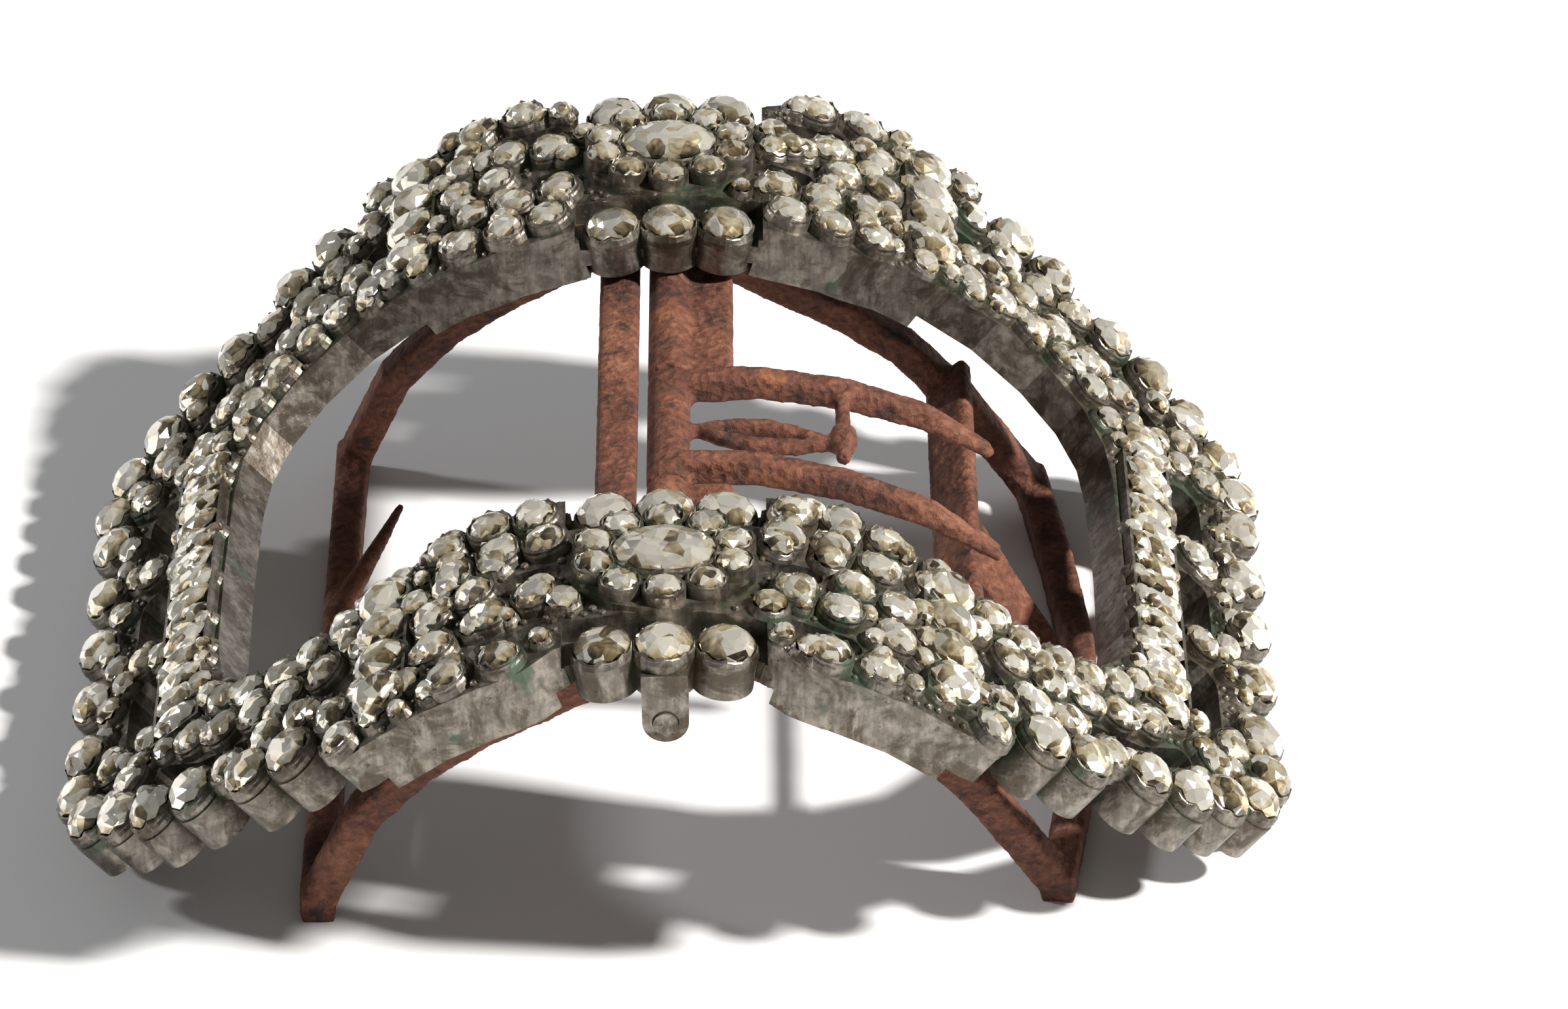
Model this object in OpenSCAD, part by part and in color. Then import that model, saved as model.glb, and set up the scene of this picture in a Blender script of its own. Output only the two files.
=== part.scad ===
// Large arched shoe buckle: a pierced silver frame set with paste stones, on an iron chape of two
// swinging loops and a double tongue. Millimetres. X runs along the arch, Y across it, Z up.
// The floor is z = 0 and the spindle stands over the middle of the floor.

/* [Frame] */
// Thickness of the silver plate
plate_t = 2.9; // [2.7:0.05:3.1]
// Depth of the side walls along the bows
wall_deep = 4.0; // [3.6:0.1:4.2]
// How far the rosettes stand over the crown
rosette_rise = 0.4; // [0.2:0.1:0.6]
// Height of a collet over the plate
collet_high = 0.8; // [0.6:0.1:1.0]
// Wall of a collet
collet_wall = 0.32; // [0.25:0.01:0.34]

/* [Stones] */
// Height of a small stone's table over the plate
stone_high = 1.7; // [1.4:0.1:2.0]
// Height of a main stone's table over the plate
main_high = 2.1; // [1.8:0.1:2.3]

/* [Chape] */
// Diameter of the spindle
spindle_d = 1.6; // [1.4:0.05:1.7]
// Diameter of the loops' iron rods
rod_d = 2.3; // [2.1:0.05:2.4]
// Thickness of the flat bar that carries the tongue
flat_bar_t = 1.2; // [1.0:0.1:1.5]

/* [Hidden] */
$fn = 48;

silver = [0.62, 0.60, 0.56];
iron = [0.42, 0.24, 0.16];
paste = [0.86, 0.84, 0.76];

// The arch. Along it, s is the distance from the crown over the plate's top face.
crown_z = 29.4;
arch_r = 30.4;
arch_half = 41;
arch_z = crown_z - arch_r;
arch_s = arch_r * arch_half * PI / 180;
frame_reach = 60;

// The crown is bent in flat steps, then runs straight along each flank. Every other step laps over
// its neighbours, which end a little short under it.
sectors = 9;
step_over = 0.3;
step_short = 0.12;
last_end = 2.0;
flank_start = -0.9;
wall_over = 0.15;
wall_sunk = 1;
sector_turn = 2 * arch_half / sectors;
sector_s = arch_s * 2 / sectors;
sector_half = arch_r * tan(sector_turn / 2);
sector_last = (sectors - 1) / 2;

// Stones: half length along s, half width along y.
seat_gap = 0.05;
collet_root = 0.6;
small_r = 1.3;
lobe_r = 1.65;
cluster_r = 1.75;
table_part = 0.58;
main_girdle = 0.9;
main_crown = [0.82, 1.55];
main_foot_part = 0.96;
main_table_part = 0.5;

// Rosettes
rosette_y = 26;
rosette_r = 5.6;
rosette_long = 0.5;
rosette_root = 2.5;
rosette_stone = [3.1, 2.3];
ring_count = 10;
ring_turn = 18;
ring_s = 4.75;
ring_y = 4.1;
ring_r = 1.12;

// Clusters of three beside each rosette
cluster_s = 4.1;
cluster_inner_y = 18.25;
cluster_outer_y = 33.75;
cluster_cup_deep = 3.6;
cluster_drop = 1.6;
pocket_deep = 2.2;
pocket_high = 4;
pocket_half = 6.6;
pocket_inner = [10, 20.7];
pocket_outer = [31.28, 40];

// Cross bands between bow and corner
band_s = 19.3;
band_ys = [21.7, 25.25, 28.8, 32.35];
band_stone = [1.75, 1.55];

// Bow, one quarter: [s, y] of its round stones, the first six on the inner loop
bow_stones = [
    [8.4, 19.2], [11.6, 18.9], [14.8, 19.4], [7.7, 22.3], [10.9, 22.2], [14.1, 22.9],
    [12.4, 26.1], [15.5, 26.6], [8.3, 28.3], [11.5, 29.2], [15.3, 30.2], [10.6, 34.3], [14.3, 34.3]
];

// Corner, one quarter: [s, y], row by row from the opening outwards
inner_row = [[22.8, 21.2], [25.8, 21.4], [28.8, 21.0], [31.7, 20.0], [34.3, 18.4]];
second_row = [[24.6, 24.6], [28.0, 24.2], [31.0, 23.0], [34.0, 21.9], [36.8, 20.3]];
third_row = [
    [23.4, 30.6], [26.6, 27.8], [29.6, 26.9], [33.2, 27.4], [43.0, 19.6], [44.9, 16.5], [22.7, 34.0]
];
lobe_stones = [
    [27.2, 31.3], [31.0, 30.0], [36.4, 27.0], [40.2, 25.6], [43.5, 23.3], [46.5, 20.8], [47.9, 17.1]
];
lobe_rim = 0.45;

// Short side: a rail of close set stones along the opening, then drop-shaped holes, then lobes
rail_s = 38.9;
rail_half = 1.9;
rail_stone_half = 1.02;
rail_pitch = 2.35;
rail_side = 7;
side_lobe_s = 47.6;
side_lobe_pitch = 6.4;
drop_s = 43.1;
drop_pitch = 11;
drop_r = 1.6;
drop_run = 2.2;
bridge_y = 5.5;
bridge_r = 1.2;

// Pierced holes of one quarter
bow_hole_in = [[7.6, 25.3], [9.6, 25.2]];
bow_hole_out = [[8.6, 31.6], [12.2, 32.1]];
bow_hole_r = 0.85;
eye_at = [23.1, 27.2];
eye_r = 1.35;
slot_path = [[32.6, 25.0], [37.2, 23.4], [40.5, 20.6]];
slot_r = 0.85;
bar_steps = 6;

// Outline of one quarter: outer edge from the middle to the short side, then the opening back again
outer_edge = [
    [0, 34.0], [5.8, 33.5], [7.6, 34.6], [9.2, 35.7], [11.4, 36.2], [17.6, 36.0], [20.4, 35.8],
    [22.6, 35.6], [23.9, 35.1], [24.4, 33.8], [24.3, 32.4], [26, 31.6], [29, 30.6], [32.6, 29.2],
    [34.2, 27.7], [38, 26.6], [43, 24.4], [46.0, 21.4], [47.9, 17.2], [47.4, 12], [47.7, 0]
];
opening_edge = [
    [36.4, 0], [36.2, 9.5], [35.6, 13.2], [33.8, 16.2], [30.6, 18.4], [26, 19.5], [20, 18.6],
    [14, 17.4], [8, 17.1], [0, 17.3]
];
bow_from = 6.5;
bow_to = 21.3;
wall_in_y = 18.4;
wall_in_end = 14;
wall_out_y = 34.8;
wall_out_end = 40;
wall_slant = 0.3;

// Spindle, lugs and knuckles
axis_z = 24;
spindle_r = spindle_d / 2;
bore_r = spindle_r + 0.06;
knuckle_r = 1.5;
knuckle_seam = 200;
lug_in = 34.0;
lug_out = 35.9;
lug_half = 1.5;
lug_top = 27.6;
spindle_end = 36.1;
end_gap = 0.15;

// Loops: [x, z] of the side bars' middle line, from the root to the corner on the floor
rod_r = rod_d / 2;
loop_line = [[2.6, 23.8], [4.7, 21.4], [8.7, 19.1], [12.3, 17.0], [16.4, 13.9], [20.4, 9.3]];
tongue_loop_y = 24.3;
tongue_corner_x = 25.7;
tongue_lean = 4.5;
tongue_bow_more = 0.02;
tongue_bow = [[27.2, -14], [28.3, -4], [28.3, 5], [27.3, 15]];
heel_loop_y = 27.1;
heel_corner_x = 24.0;
heel_lean = 9;
heel_strip = [2.1, 4.9];
heel_knuckle = [25.8, 28.3];
strip_t = 1.3;
heel_tab = 3.4;
tab_inset = 0.12;
plate_in = 1.0;
plate_out = 4.4;
flat_bar_at = [19.7, 11.2];
flat_bar_w = 3.6;
flat_bar_tilt = -38;
brace_from = [19.9, 6.3, 10.9];
brace_to = [28.0, -2.5, 1.5];
brace_w = 3.0;
spur_from = [-24.4, 9.5, 1.4];
spur_to = [-19.8, 19.5, 4.6];
spur_r = 0.95;

// Tongue
tongue_y = -2;
tongue_half = 6.6;
prong_root = 5.0;
prong_line = [[0.4, 24.7], [6, 24.5], [12, 23.0], [17.6, 20.6], [22.4, 17.2]];
prong_drift = 1.5;
prong_spread = 1.4;
prong_halves = [1.0, 0.95, 0.9, 0.75, 0.3];
prong_w = 1.8;
leaf_at = [1.2, -1.6, 24.2];
leaf_len = 10.4;
leaf_half = 1.7;
leaf_slit = 0.55;
leaf_t = 1.1;
leaf_tilt = 8;
leaf_steps = 12;
leaf_inset = 0.9;
knob_at = [11.9, 22.9];
knob_r = 0.95;
cross_pin_r = 0.55;
cross_pin_short = 2.6;
cross_pin_past = 0.7;

// Puts its children on the plate's top face at distance s from the crown, Z square to the plate.
module on_arch(s) {
    turn = min(max(s * 180 / (PI * arch_r), -arch_half), arch_half);
    run = s - turn * PI * arch_r / 180;
    translate([arch_r * sin(turn), 0, arch_z + arch_r * cos(turn)])
        rotate([0, turn, 0])
            translate([run, 0, 0])
                children();
}

// A slot shape with rounded ends through two points
module bar(p, q, r) {
    way = q - p;
    translate(p) rotate(atan2(way[1], way[0])) polygon([
        for (i = [0:bar_steps]) r * [-sin(180 * i / bar_steps), cos(180 * i / bar_steps)],
        for (i = [0:bar_steps]) [norm(way), 0] + r * [sin(180 * i / bar_steps), -cos(180 * i / bar_steps)]
    ]);
}

module four_ways() {
    for (a = [0, 1], b = [0, 1]) mirror([a, 0]) mirror([0, b]) children();
}

module two_sides() {
    for (a = [0, 1]) mirror([a, 0, 0]) children();
}

// Flat outline of the frame, laid out along s
module outline() {
    difference() {
        union() {
            four_ways() {
                polygon(concat(outer_edge, opening_edge));
                for (p = lobe_stones) translate(p) circle(r = lobe_r + lobe_rim);
                for (n = [0:2]) translate([side_lobe_s, n * side_lobe_pitch])
                    circle(r = lobe_r + lobe_rim);
            }
        }
        four_ways() {
            bar(bow_hole_in[0], bow_hole_in[1], bow_hole_r);
            bar(bow_hole_out[0], bow_hole_out[1], bow_hole_r);
            translate(eye_at) circle(r = eye_r);
            bar(slot_path[0], slot_path[1], slot_r);
            bar(slot_path[1], slot_path[2], slot_r);
        }
        for (a = [0, 1], n = [-1, 0, 1]) mirror([a, 0])
            bar([drop_s, n * drop_pitch - drop_run], [drop_s, n * drop_pitch + drop_run], drop_r);
    }
}

// The bows' edges, where the side walls run deeper
module wall_outline() {
    intersection() {
        outline();
        four_ways() {
            polygon([
                [bow_from, wall_out_y], [bow_to, wall_out_y + wall_slant],
                [bow_to, wall_out_end], [bow_from, wall_out_end]
            ]);
            polygon([
                [bow_from, wall_in_end], [bow_to, wall_in_end],
                [bow_to, wall_in_y + wall_slant], [bow_from, wall_in_y]
            ]);
        }
    }
}

// How far step k reaches from its middle, towards the right flank for side 1 and the left for side -1
function step_end(k, side, more) =
    side * k == sector_last ? last_end + more :
    sector_half + (k % 2 == 0 ? step_over + more : -step_short - more);

// Flat steps of the crown: the outline's strips, from depth deep up to depth sunk
module crown_part(deep, sunk, more) {
    for (k = [-sector_last:sector_last]) on_arch(k * sector_s) translate([0, 0, -deep])
        linear_extrude(deep - sunk) intersection() {
            translate([-k * sector_s, 0]) children();
            translate([-step_end(k, -1, more), -frame_reach])
                square([step_end(k, -1, more) + step_end(k, 1, more), 2 * frame_reach]);
        }
}

module flank_part(deep) {
    on_arch(arch_s) translate([0, 0, -deep]) linear_extrude(deep)
        intersection() {
            translate([-arch_s, 0]) children();
            translate([flank_start, -frame_reach]) square([frame_reach, 2 * frame_reach]);
        }
}

// Collets of the round stones that stand on one step or flank, laid out flat about s
module collet_layer(stones, s) {
    translate([0, 0, -collet_root]) linear_extrude(collet_root + collet_high) difference() {
        for (p = stones) translate([p[0] - s, p[1]]) circle(r = p[2] + collet_wall);
        for (p = stones) translate([p[0] - s, p[1]]) circle(r = p[2] + seat_gap);
    }
}

function octagon(a, b) = [for (i = [0:7]) [a * cos(45 * i + 22.5), b * sin(45 * i + 22.5)] / cos(22.5)];

// Cut stone: rings of eight points, each [part of the girdle's size, height]
module cut_stone(a, b, rings) {
    last = len(rings) - 1;
    polyhedron(
        points = [for (k = rings, i = [0:7]) [
            a * k[0] * cos(45 * i + 22.5), b * k[0] * sin(45 * i + 22.5), k[1]
        ]],
        faces = concat(
            [[for (i = [0:7]) i]],
            [for (j = [0:last - 1], i = [0:7]) [
                8 * j + i, 8 * (j + 1) + i, 8 * (j + 1) + (i + 1) % 8, 8 * j + (i + 1) % 8
            ]],
            [[for (i = [7:-1:0]) 8 * last + i]]
        )
    );
}

function small_rings() = [[1, seat_gap], [table_part, stone_high]];
function main_rings() =
    [[main_foot_part, seat_gap], [1, main_girdle], main_crown, [main_table_part, main_high]];

module small_stone(at, s) {
    color(paste) on_arch(s) translate([at[0] - s, at[1], 0]) cut_stone(at[2], at[2], small_rings());
}

// Round stones as [s, y, r], by bow, by flank and by step of the crown
function bow_list(a, b) = [for (p = bow_stones) [a * p[0], b * p[1], small_r]];
function flank_list(a) = concat(
    [for (b = [-1, 1], p = concat(inner_row, second_row, third_row)) [a * p[0], b * p[1], small_r]],
    [for (b = [-1, 1], p = lobe_stones) [a * p[0], b * p[1], lobe_r]],
    [for (n = [-2:2]) [a * side_lobe_s, n * side_lobe_pitch, lobe_r]],
    [for (b = [-1, 1]) [a * drop_s, b * bridge_y, bridge_r]]
);
cluster_list = [
    for (y = [-cluster_outer_y, -cluster_inner_y, cluster_inner_y, cluster_outer_y], n = [-1, 0, 1])
        [n * cluster_s, y]
];
band_list = [for (a = [-1, 1], b = [-1, 1], y = band_ys) [a * band_s, b * y]];
bow_all = concat(bow_list(-1, -1), bow_list(-1, 1), bow_list(1, -1), bow_list(1, 1));
function step_of(s) = max(-sector_last, min(sector_last, round(s / sector_s)));
function on_step(k) = [for (p = bow_all) if (step_of(p[0]) == k) p];

module rosette_plate(y) {
    translate([0, y, crown_z - rosette_root]) linear_extrude(rosette_root + rosette_rise)
        bar([-rosette_long, 0], [rosette_long, 0], rosette_r);
}

module on_rosette(y) {
    translate([0, y, crown_z + rosette_rise]) children();
}

module ring_places() {
    for (i = [0:ring_count - 1]) {
        turn = 360 * i / ring_count + ring_turn;
        translate([ring_s * cos(turn), ring_y * sin(turn), 0]) children();
    }
}

module rosette_collets(y) {
    on_rosette(y) translate([0, 0, -collet_root]) linear_extrude(collet_root + collet_high) difference() {
        union() {
            polygon(octagon(rosette_stone[0] + collet_wall, rosette_stone[1] + collet_wall));
            ring_places() circle(r = ring_r + collet_wall);
        }
        polygon(octagon(rosette_stone[0] + seat_gap, rosette_stone[1] + seat_gap));
        ring_places() circle(r = ring_r + seat_gap);
    }
}

// Deep silver cup under each cluster stone
module cluster_cup(at) {
    deep = cluster_cup_deep - cluster_drop;
    on_arch(at[0]) translate([0, at[1], -cluster_drop]) {
        translate([0, 0, -deep]) cylinder(h = deep, r = cluster_r + collet_wall);
        translate([0, 0, -collet_root]) linear_extrude(collet_root + collet_high) difference() {
            circle(r = cluster_r + collet_wall);
            circle(r = cluster_r + seat_gap);
        }
    }
}

// Sunk floors that the clusters stand on, between the rosettes and the edges
module cluster_pockets() {
    for (b = [-1, 1], span = [pocket_inner, pocket_outer])
        translate([-pocket_half, b < 0 ? -span[1] : span[0], crown_z - pocket_deep])
            cube([2 * pocket_half, span[1] - span[0], pocket_high]);
}

module frame_of(a, b, deep, high) {
    translate([0, 0, -deep]) linear_extrude(deep + high) difference() {
        square([2 * (a + collet_wall), 2 * (b + collet_wall)], center = true);
        square([2 * (a + seat_gap), 2 * (b + seat_gap)], center = true);
    }
}

// Lug under each end of the short axis, with the spindle's bore
module lug(side) {
    middle = side * (lug_in + lug_out) / 2;
    translate([0, middle, axis_z]) rotate([90, 0, 0])
        cylinder(h = lug_out - lug_in, r = lug_half, center = true);
    translate([0, middle, (axis_z + lug_top) / 2])
        cube([2 * lug_half, lug_out - lug_in, lug_top - axis_z], center = true);
}

module axle(r, long) {
    translate([0, 0, axis_z]) rotate([90, 0, 0]) cylinder(h = long, r = r, center = true);
}

module frame() {
    color(silver) difference() {
        union() {
            difference() {
                crown_part(plate_t, 0, 0) outline();
                cluster_pockets();
            }
            crown_part(wall_deep, wall_sunk, wall_over) wall_outline();
            two_sides() flank_part(plate_t) outline();
            for (b = [-1, 1]) {
                rosette_plate(b * rosette_y);
                rosette_collets(b * rosette_y);
                lug(b);
            }
            for (p = cluster_list) cluster_cup(p);
            for (p = band_list) on_arch(p[0]) translate([0, p[1], 0])
                frame_of(band_stone[0], band_stone[1], collet_root, collet_high);
            for (a = [-1, 1]) on_arch(a * rail_s)
                frame_of(rail_half, rail_side * rail_pitch + rail_stone_half, collet_root, collet_high);
            for (k = [-sector_last:sector_last]) if (len(on_step(k)) > 0)
                on_arch(k * sector_s) collet_layer(on_step(k), k * sector_s);
            for (a = [-1, 1]) on_arch(a * arch_s) collet_layer(flank_list(a), a * arch_s);
        }
        axle(bore_r, 2 * frame_reach);
    }
}

module spindle() {
    color(iron) axle(spindle_r, 2 * spindle_end);
}

function unit(v) = v / norm(v);
function way_at(line, i) = unit(
    (i > 0 ? unit(line[i] - line[i - 1]) : [0, 0])
    + (i < len(line) - 1 ? unit(line[i + 1] - line[i]) : [0, 0])
);
function half_turn(line, i) =
    i == 0 || i == len(line) - 1 ? 1 : way_at(line, i) * unit(line[i + 1] - line[i]);
function beside(line, i, half) =
    line[i] + [-way_at(line, i)[1], way_at(line, i)[0]] * half / half_turn(line, i);

// A flat band along a bent line, with mitred bends; one half width for each point of the line
module band(line, halves) {
    last = len(line) - 1;
    polygon(concat(
        [for (i = [0:last]) beside(line, i, halves[i])],
        [for (i = [last:-1:0]) beside(line, i, -halves[i])]
    ));
}

// A forged bar that hangs from the spindle at y, in a plane that leans away from upright
module side_bar(line, halves, y, thick, lean) {
    translate([0, y, axis_z]) rotate([lean, 0, 0]) translate([0, 0, -axis_z])
        rotate([90, 0, 0]) linear_extrude(thick, center = true) band(line, halves);
}

// A flat strap from p to q
module strap(p, q, wide, thick) {
    way = q - p;
    translate(p) rotate([0, acos(way[2] / norm(way)), atan2(way[1], way[0])])
        translate([-thick / 2, -wide / 2, 0]) cube([thick, wide, norm(way)]);
}

module knuckle(from, to) {
    translate([0, to, axis_z]) rotate([90, 0, 0]) rotate(knuckle_seam)
        cylinder(h = to - from, r = knuckle_r);
}

function foot_y(y, lean) = y + axis_z * sin(lean);
function side_line(corner_x) = concat(loop_line, [[corner_x, rod_r]]);
loop_halves = [for (p = loop_line) rod_r, rod_r];

module heel_loop() {
    color(iron) difference() {
        union() {
            translate([-heel_strip[1], -heel_knuckle[1], axis_z - strip_t / 2])
                cube([heel_strip[1] - heel_strip[0], 2 * heel_knuckle[1], strip_t]);
            for (b = [-1, 1]) {
                from = b < 0 ? -heel_knuckle[1] : heel_knuckle[0];
                long = heel_knuckle[1] - heel_knuckle[0];
                knuckle(from, from + long);
                translate([-heel_tab, from + tab_inset, axis_z - strip_t / 2 + tab_inset])
                    cube([heel_tab, long - 2 * tab_inset, strip_t - 2 * tab_inset]);
                mirror([1, 0, 0])
                    side_bar(side_line(heel_corner_x), loop_halves, b * heel_loop_y, rod_d, heel_lean);
            }
            translate([-heel_corner_x - rod_r, foot_y(-heel_loop_y, heel_lean) - rod_r, 0])
                cube([rod_d, 2 * heel_loop_y + rod_d, rod_d]);
            spur();
        }
        axle(bore_r, 2 * frame_reach);
    }
}

// Pointed spur that leans in from the heel loop's bar
module spur() {
    way = spur_to - spur_from;
    translate(spur_from) rotate([0, acos(way[2] / norm(way)), atan2(way[1], way[0])])
        cylinder(h = norm(way), r1 = spur_r, r2 = spur_r / 3);
}

module tongue_loop() {
    outer = concat(
        [[tongue_corner_x, foot_y(-tongue_loop_y, tongue_lean) - rod_r]],
        tongue_bow,
        [[tongue_corner_x, foot_y(tongue_loop_y, tongue_lean) + rod_r]]
    );
    near_end = tongue_y - tongue_half - end_gap;
    far_start = tongue_y + tongue_half + end_gap;
    plate_end = tongue_loop_y + rod_r;
    color(iron) difference() {
        union() {
            for (span = [[-plate_end, near_end], [far_start, plate_end]]) {
                knuckle(span[0], span[1]);
                translate([plate_in, span[0], axis_z - strip_t / 2])
                    cube([plate_out - plate_in, span[1] - span[0], strip_t]);
            }
            for (b = [-1, 1])
                side_bar(side_line(tongue_corner_x), loop_halves, b * tongue_loop_y, rod_d, tongue_lean);
            linear_extrude(rod_d) band(outer, [for (p = outer) rod_r + tongue_bow_more]);
            translate([flat_bar_at[0], (axis_z - flat_bar_at[1]) * sin(tongue_lean), flat_bar_at[1]])
                rotate([0, flat_bar_tilt, 0])
                    cube([flat_bar_w, 2 * tongue_loop_y, flat_bar_t], center = true);
            strap(brace_from, brace_to, brace_w, flat_bar_t);
        }
        axle(bore_r, 2 * frame_reach);
    }
}

module prong(side) {
    spread = atan2(prong_drift + side * prong_spread, prong_line[4][0]);
    translate([0, tongue_y + side * prong_root, 0]) rotate(spread)
        side_bar(prong_line, prong_halves, 0, prong_w, 0);
}

// Split leaf between the prongs; the slit is the same shape, inset at both ends.
module leaf(half, inset = 0) {
    long = leaf_len - 2 * inset;
    polygon([
        for (i = [0:leaf_steps]) [inset + long * i / leaf_steps, half * sin(180 * i / leaf_steps)],
        for (i = [leaf_steps - 1:-1:1]) [inset + long * i / leaf_steps, -half * sin(180 * i / leaf_steps)]
    ]);
}

module tongue() {
    middle = tongue_y + prong_drift * knob_at[0] / prong_line[4][0];
    reach = prong_root + cross_pin_past;
    color(iron) difference() {
        union() {
            knuckle(tongue_y - tongue_half, tongue_y + tongue_half);
            for (side = [-1, 1]) prong(side);
            translate(leaf_at) rotate([0, leaf_tilt, 0])
                linear_extrude(leaf_t, center = true) difference() {
                    leaf(leaf_half);
                    leaf(leaf_slit, leaf_inset);
                }
            translate([knob_at[0], middle, knob_at[1]]) rotate([90, 0, 0])
                cylinder(h = 2 * knob_r, r = knob_r, center = true, $fn = 12);
            translate([knob_at[0], middle - cross_pin_short, knob_at[1]]) rotate([-90, 0, 0])
                cylinder(h = cross_pin_short + reach, r = cross_pin_r);
        }
        axle(bore_r, 2 * frame_reach);
    }
}

module rosette_stone(y) {
    color(paste) on_rosette(y) cut_stone(rosette_stone[0], rosette_stone[1], main_rings());
}

module ring_stones(y) {
    color(paste) on_rosette(y) ring_places() cut_stone(ring_r, ring_r, small_rings());
}

module bow_field(a, b) {
    for (p = bow_list(a, b)) small_stone(p, step_of(p[0]) * sector_s);
}

module flank_field(a) {
    for (p = flank_list(a)) small_stone(p, a * arch_s);
    color(paste) for (n = [-rail_side:rail_side]) on_arch(a * rail_s) translate([0, n * rail_pitch, 0])
        cut_stone(rail_half, rail_stone_half, small_rings());
}

module cluster_stone(i) {
    p = cluster_list[i - 1];
    color(paste) on_arch(p[0]) translate([0, p[1], -cluster_drop])
        cut_stone(cluster_r, cluster_r, main_rings());
}

module band_stone_at(i) {
    p = band_list[i - 1];
    color(paste) on_arch(p[0]) translate([0, p[1], 0])
        cut_stone(band_stone[0], band_stone[1], main_rings());
}

frame();
spindle();
heel_loop();
tongue_loop();
tongue();
rosette_stone(-rosette_y);  // rosette_stone_near
rosette_stone(rosette_y);  // rosette_stone_far
ring_stones(-rosette_y);  // ring_stones_near
ring_stones(rosette_y);  // ring_stones_far
bow_field(-1, -1);  // bow_stones_near_left
bow_field(1, -1);  // bow_stones_near_right
bow_field(-1, 1);  // bow_stones_far_left
bow_field(1, 1);  // bow_stones_far_right
flank_field(-1);  // flank_stones_left
flank_field(1);  // flank_stones_right
for (i = [1:12]) cluster_stone(i);
for (i = [1:16]) band_stone_at(i);
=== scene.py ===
"""Large arched shoe buckle: silver openwork set with paste stones, on a rusted iron chape."""
import math
import random

import bmesh
import bpy
from mathutils import Matrix, Vector, noise


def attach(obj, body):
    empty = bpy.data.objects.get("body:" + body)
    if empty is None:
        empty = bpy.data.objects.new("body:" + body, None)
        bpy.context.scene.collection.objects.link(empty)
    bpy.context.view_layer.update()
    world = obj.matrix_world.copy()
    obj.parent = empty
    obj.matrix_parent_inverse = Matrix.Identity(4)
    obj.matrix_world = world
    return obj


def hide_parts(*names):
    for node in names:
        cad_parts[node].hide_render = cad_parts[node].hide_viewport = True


bl_info = {
    "name": "Paste Shoe Buckle",
    "version": (1, 0, 0),
    "blender": (4, 5, 0),
    "location": "View3D > Sidebar > Buckle",
    "description": "Dresses the packed shoe buckle with paste stones, aged silver and rusted iron",
    "category": "Add Mesh",
}

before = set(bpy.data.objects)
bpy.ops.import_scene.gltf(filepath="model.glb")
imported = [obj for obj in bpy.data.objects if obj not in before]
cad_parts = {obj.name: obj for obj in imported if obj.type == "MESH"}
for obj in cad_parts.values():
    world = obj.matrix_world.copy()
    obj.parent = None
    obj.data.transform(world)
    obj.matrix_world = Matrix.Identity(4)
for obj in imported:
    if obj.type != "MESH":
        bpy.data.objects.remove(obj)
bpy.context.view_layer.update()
MM = 0.001

# The arch, in millimetres along the plate from the crown, as the solids have it
CROWN_Z = 29.4
ARCH_R = 30.4
ARCH_HALF = math.radians(41)
ARCH_S = ARCH_R * ARCH_HALF
STEPS = 9
STEP_S = ARCH_S * 2 / STEPS
LAST_STEP = (STEPS - 1) // 2

# Radii of the round stones, and their places in one quarter as (s, y)
SMALL_R, LOBE_R, CLUSTER_R, BRIDGE_R = 1.3, 1.65, 1.75, 1.2
BOW = [(8.4, 19.2), (11.6, 18.9), (14.8, 19.4), (7.7, 22.3), (10.9, 22.2), (14.1, 22.9), (12.4, 26.1),
       (15.5, 26.6), (8.3, 28.3), (11.5, 29.2), (15.3, 30.2), (10.6, 34.3), (14.3, 34.3)]
CORNER = [(22.8, 21.2), (25.8, 21.4), (28.8, 21.0), (31.7, 20.0), (34.3, 18.4), (24.6, 24.6), (28.0, 24.2),
          (31.0, 23.0), (34.0, 21.9), (36.8, 20.3), (23.4, 30.6), (26.6, 27.8), (29.6, 26.9), (33.2, 27.4),
          (43.0, 19.6), (44.9, 16.5), (22.7, 34.0)]
LOBES = [(27.2, 31.3), (31.0, 30.0), (36.4, 27.0), (40.2, 25.6), (43.5, 23.3), (46.5, 20.8), (47.9, 17.1)]
SIDE_LOBE_S, SIDE_LOBE_PITCH = 47.6, 6.4
DROP_S, BRIDGE_Y = 43.1, 5.5
RAIL_S, RAIL_HALF, RAIL_STONE_HALF, RAIL_PITCH, RAIL_SIDE = 38.9, 1.9, 1.02, 2.35, 7
BAND_S, BAND_YS, BAND_STONE, BAND_MORE = 19.3, (21.7, 25.25, 28.8, 32.35), (1.75, 1.55), 1.04
CLUSTER_S, CLUSTER_YS, CLUSTER_DROP = 4.1, (18.25, 33.75), 1.6
ROSETTE_Y, ROSETTE_RISE, ROSETTE_STONE = 26, 0.4, (3.1, 2.3)
RING_COUNT, RING_S, RING_Y, RING_R = 10, 4.75, 4.1, 1.12
RING_TURN = math.radians(18)

# Profiles as (radius, height, half steps of twist, scallop), for a stone of half size one and height one
CUT = ((0.95, 0.06, 0, 0), (1.09, 0.52, 0, 0), (1.04, 0.64, 1, 0), (0.80, 0.87, 2, 0), (0.48, 1.0, 3, 0))
LIP = ((1.17, 0.84, 0, 0.10), (1.12, 0.95, 0, 0.16), (1.06, 0.86, 0, 0.14), (0.95, 0.5, 0, 0))
BEAD = ((0.95, 0.0, 0, 0), (0.98, 0.4, 0, 0), (0.75, 0.8, 0, 0), (0.35, 1.0, 0, 0))
LIP_SIDES, LIP_SCALLOPS, LIP_WAIST, LIP_WAIST_HIGH = 24, 8, 0.76, 0.45

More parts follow.
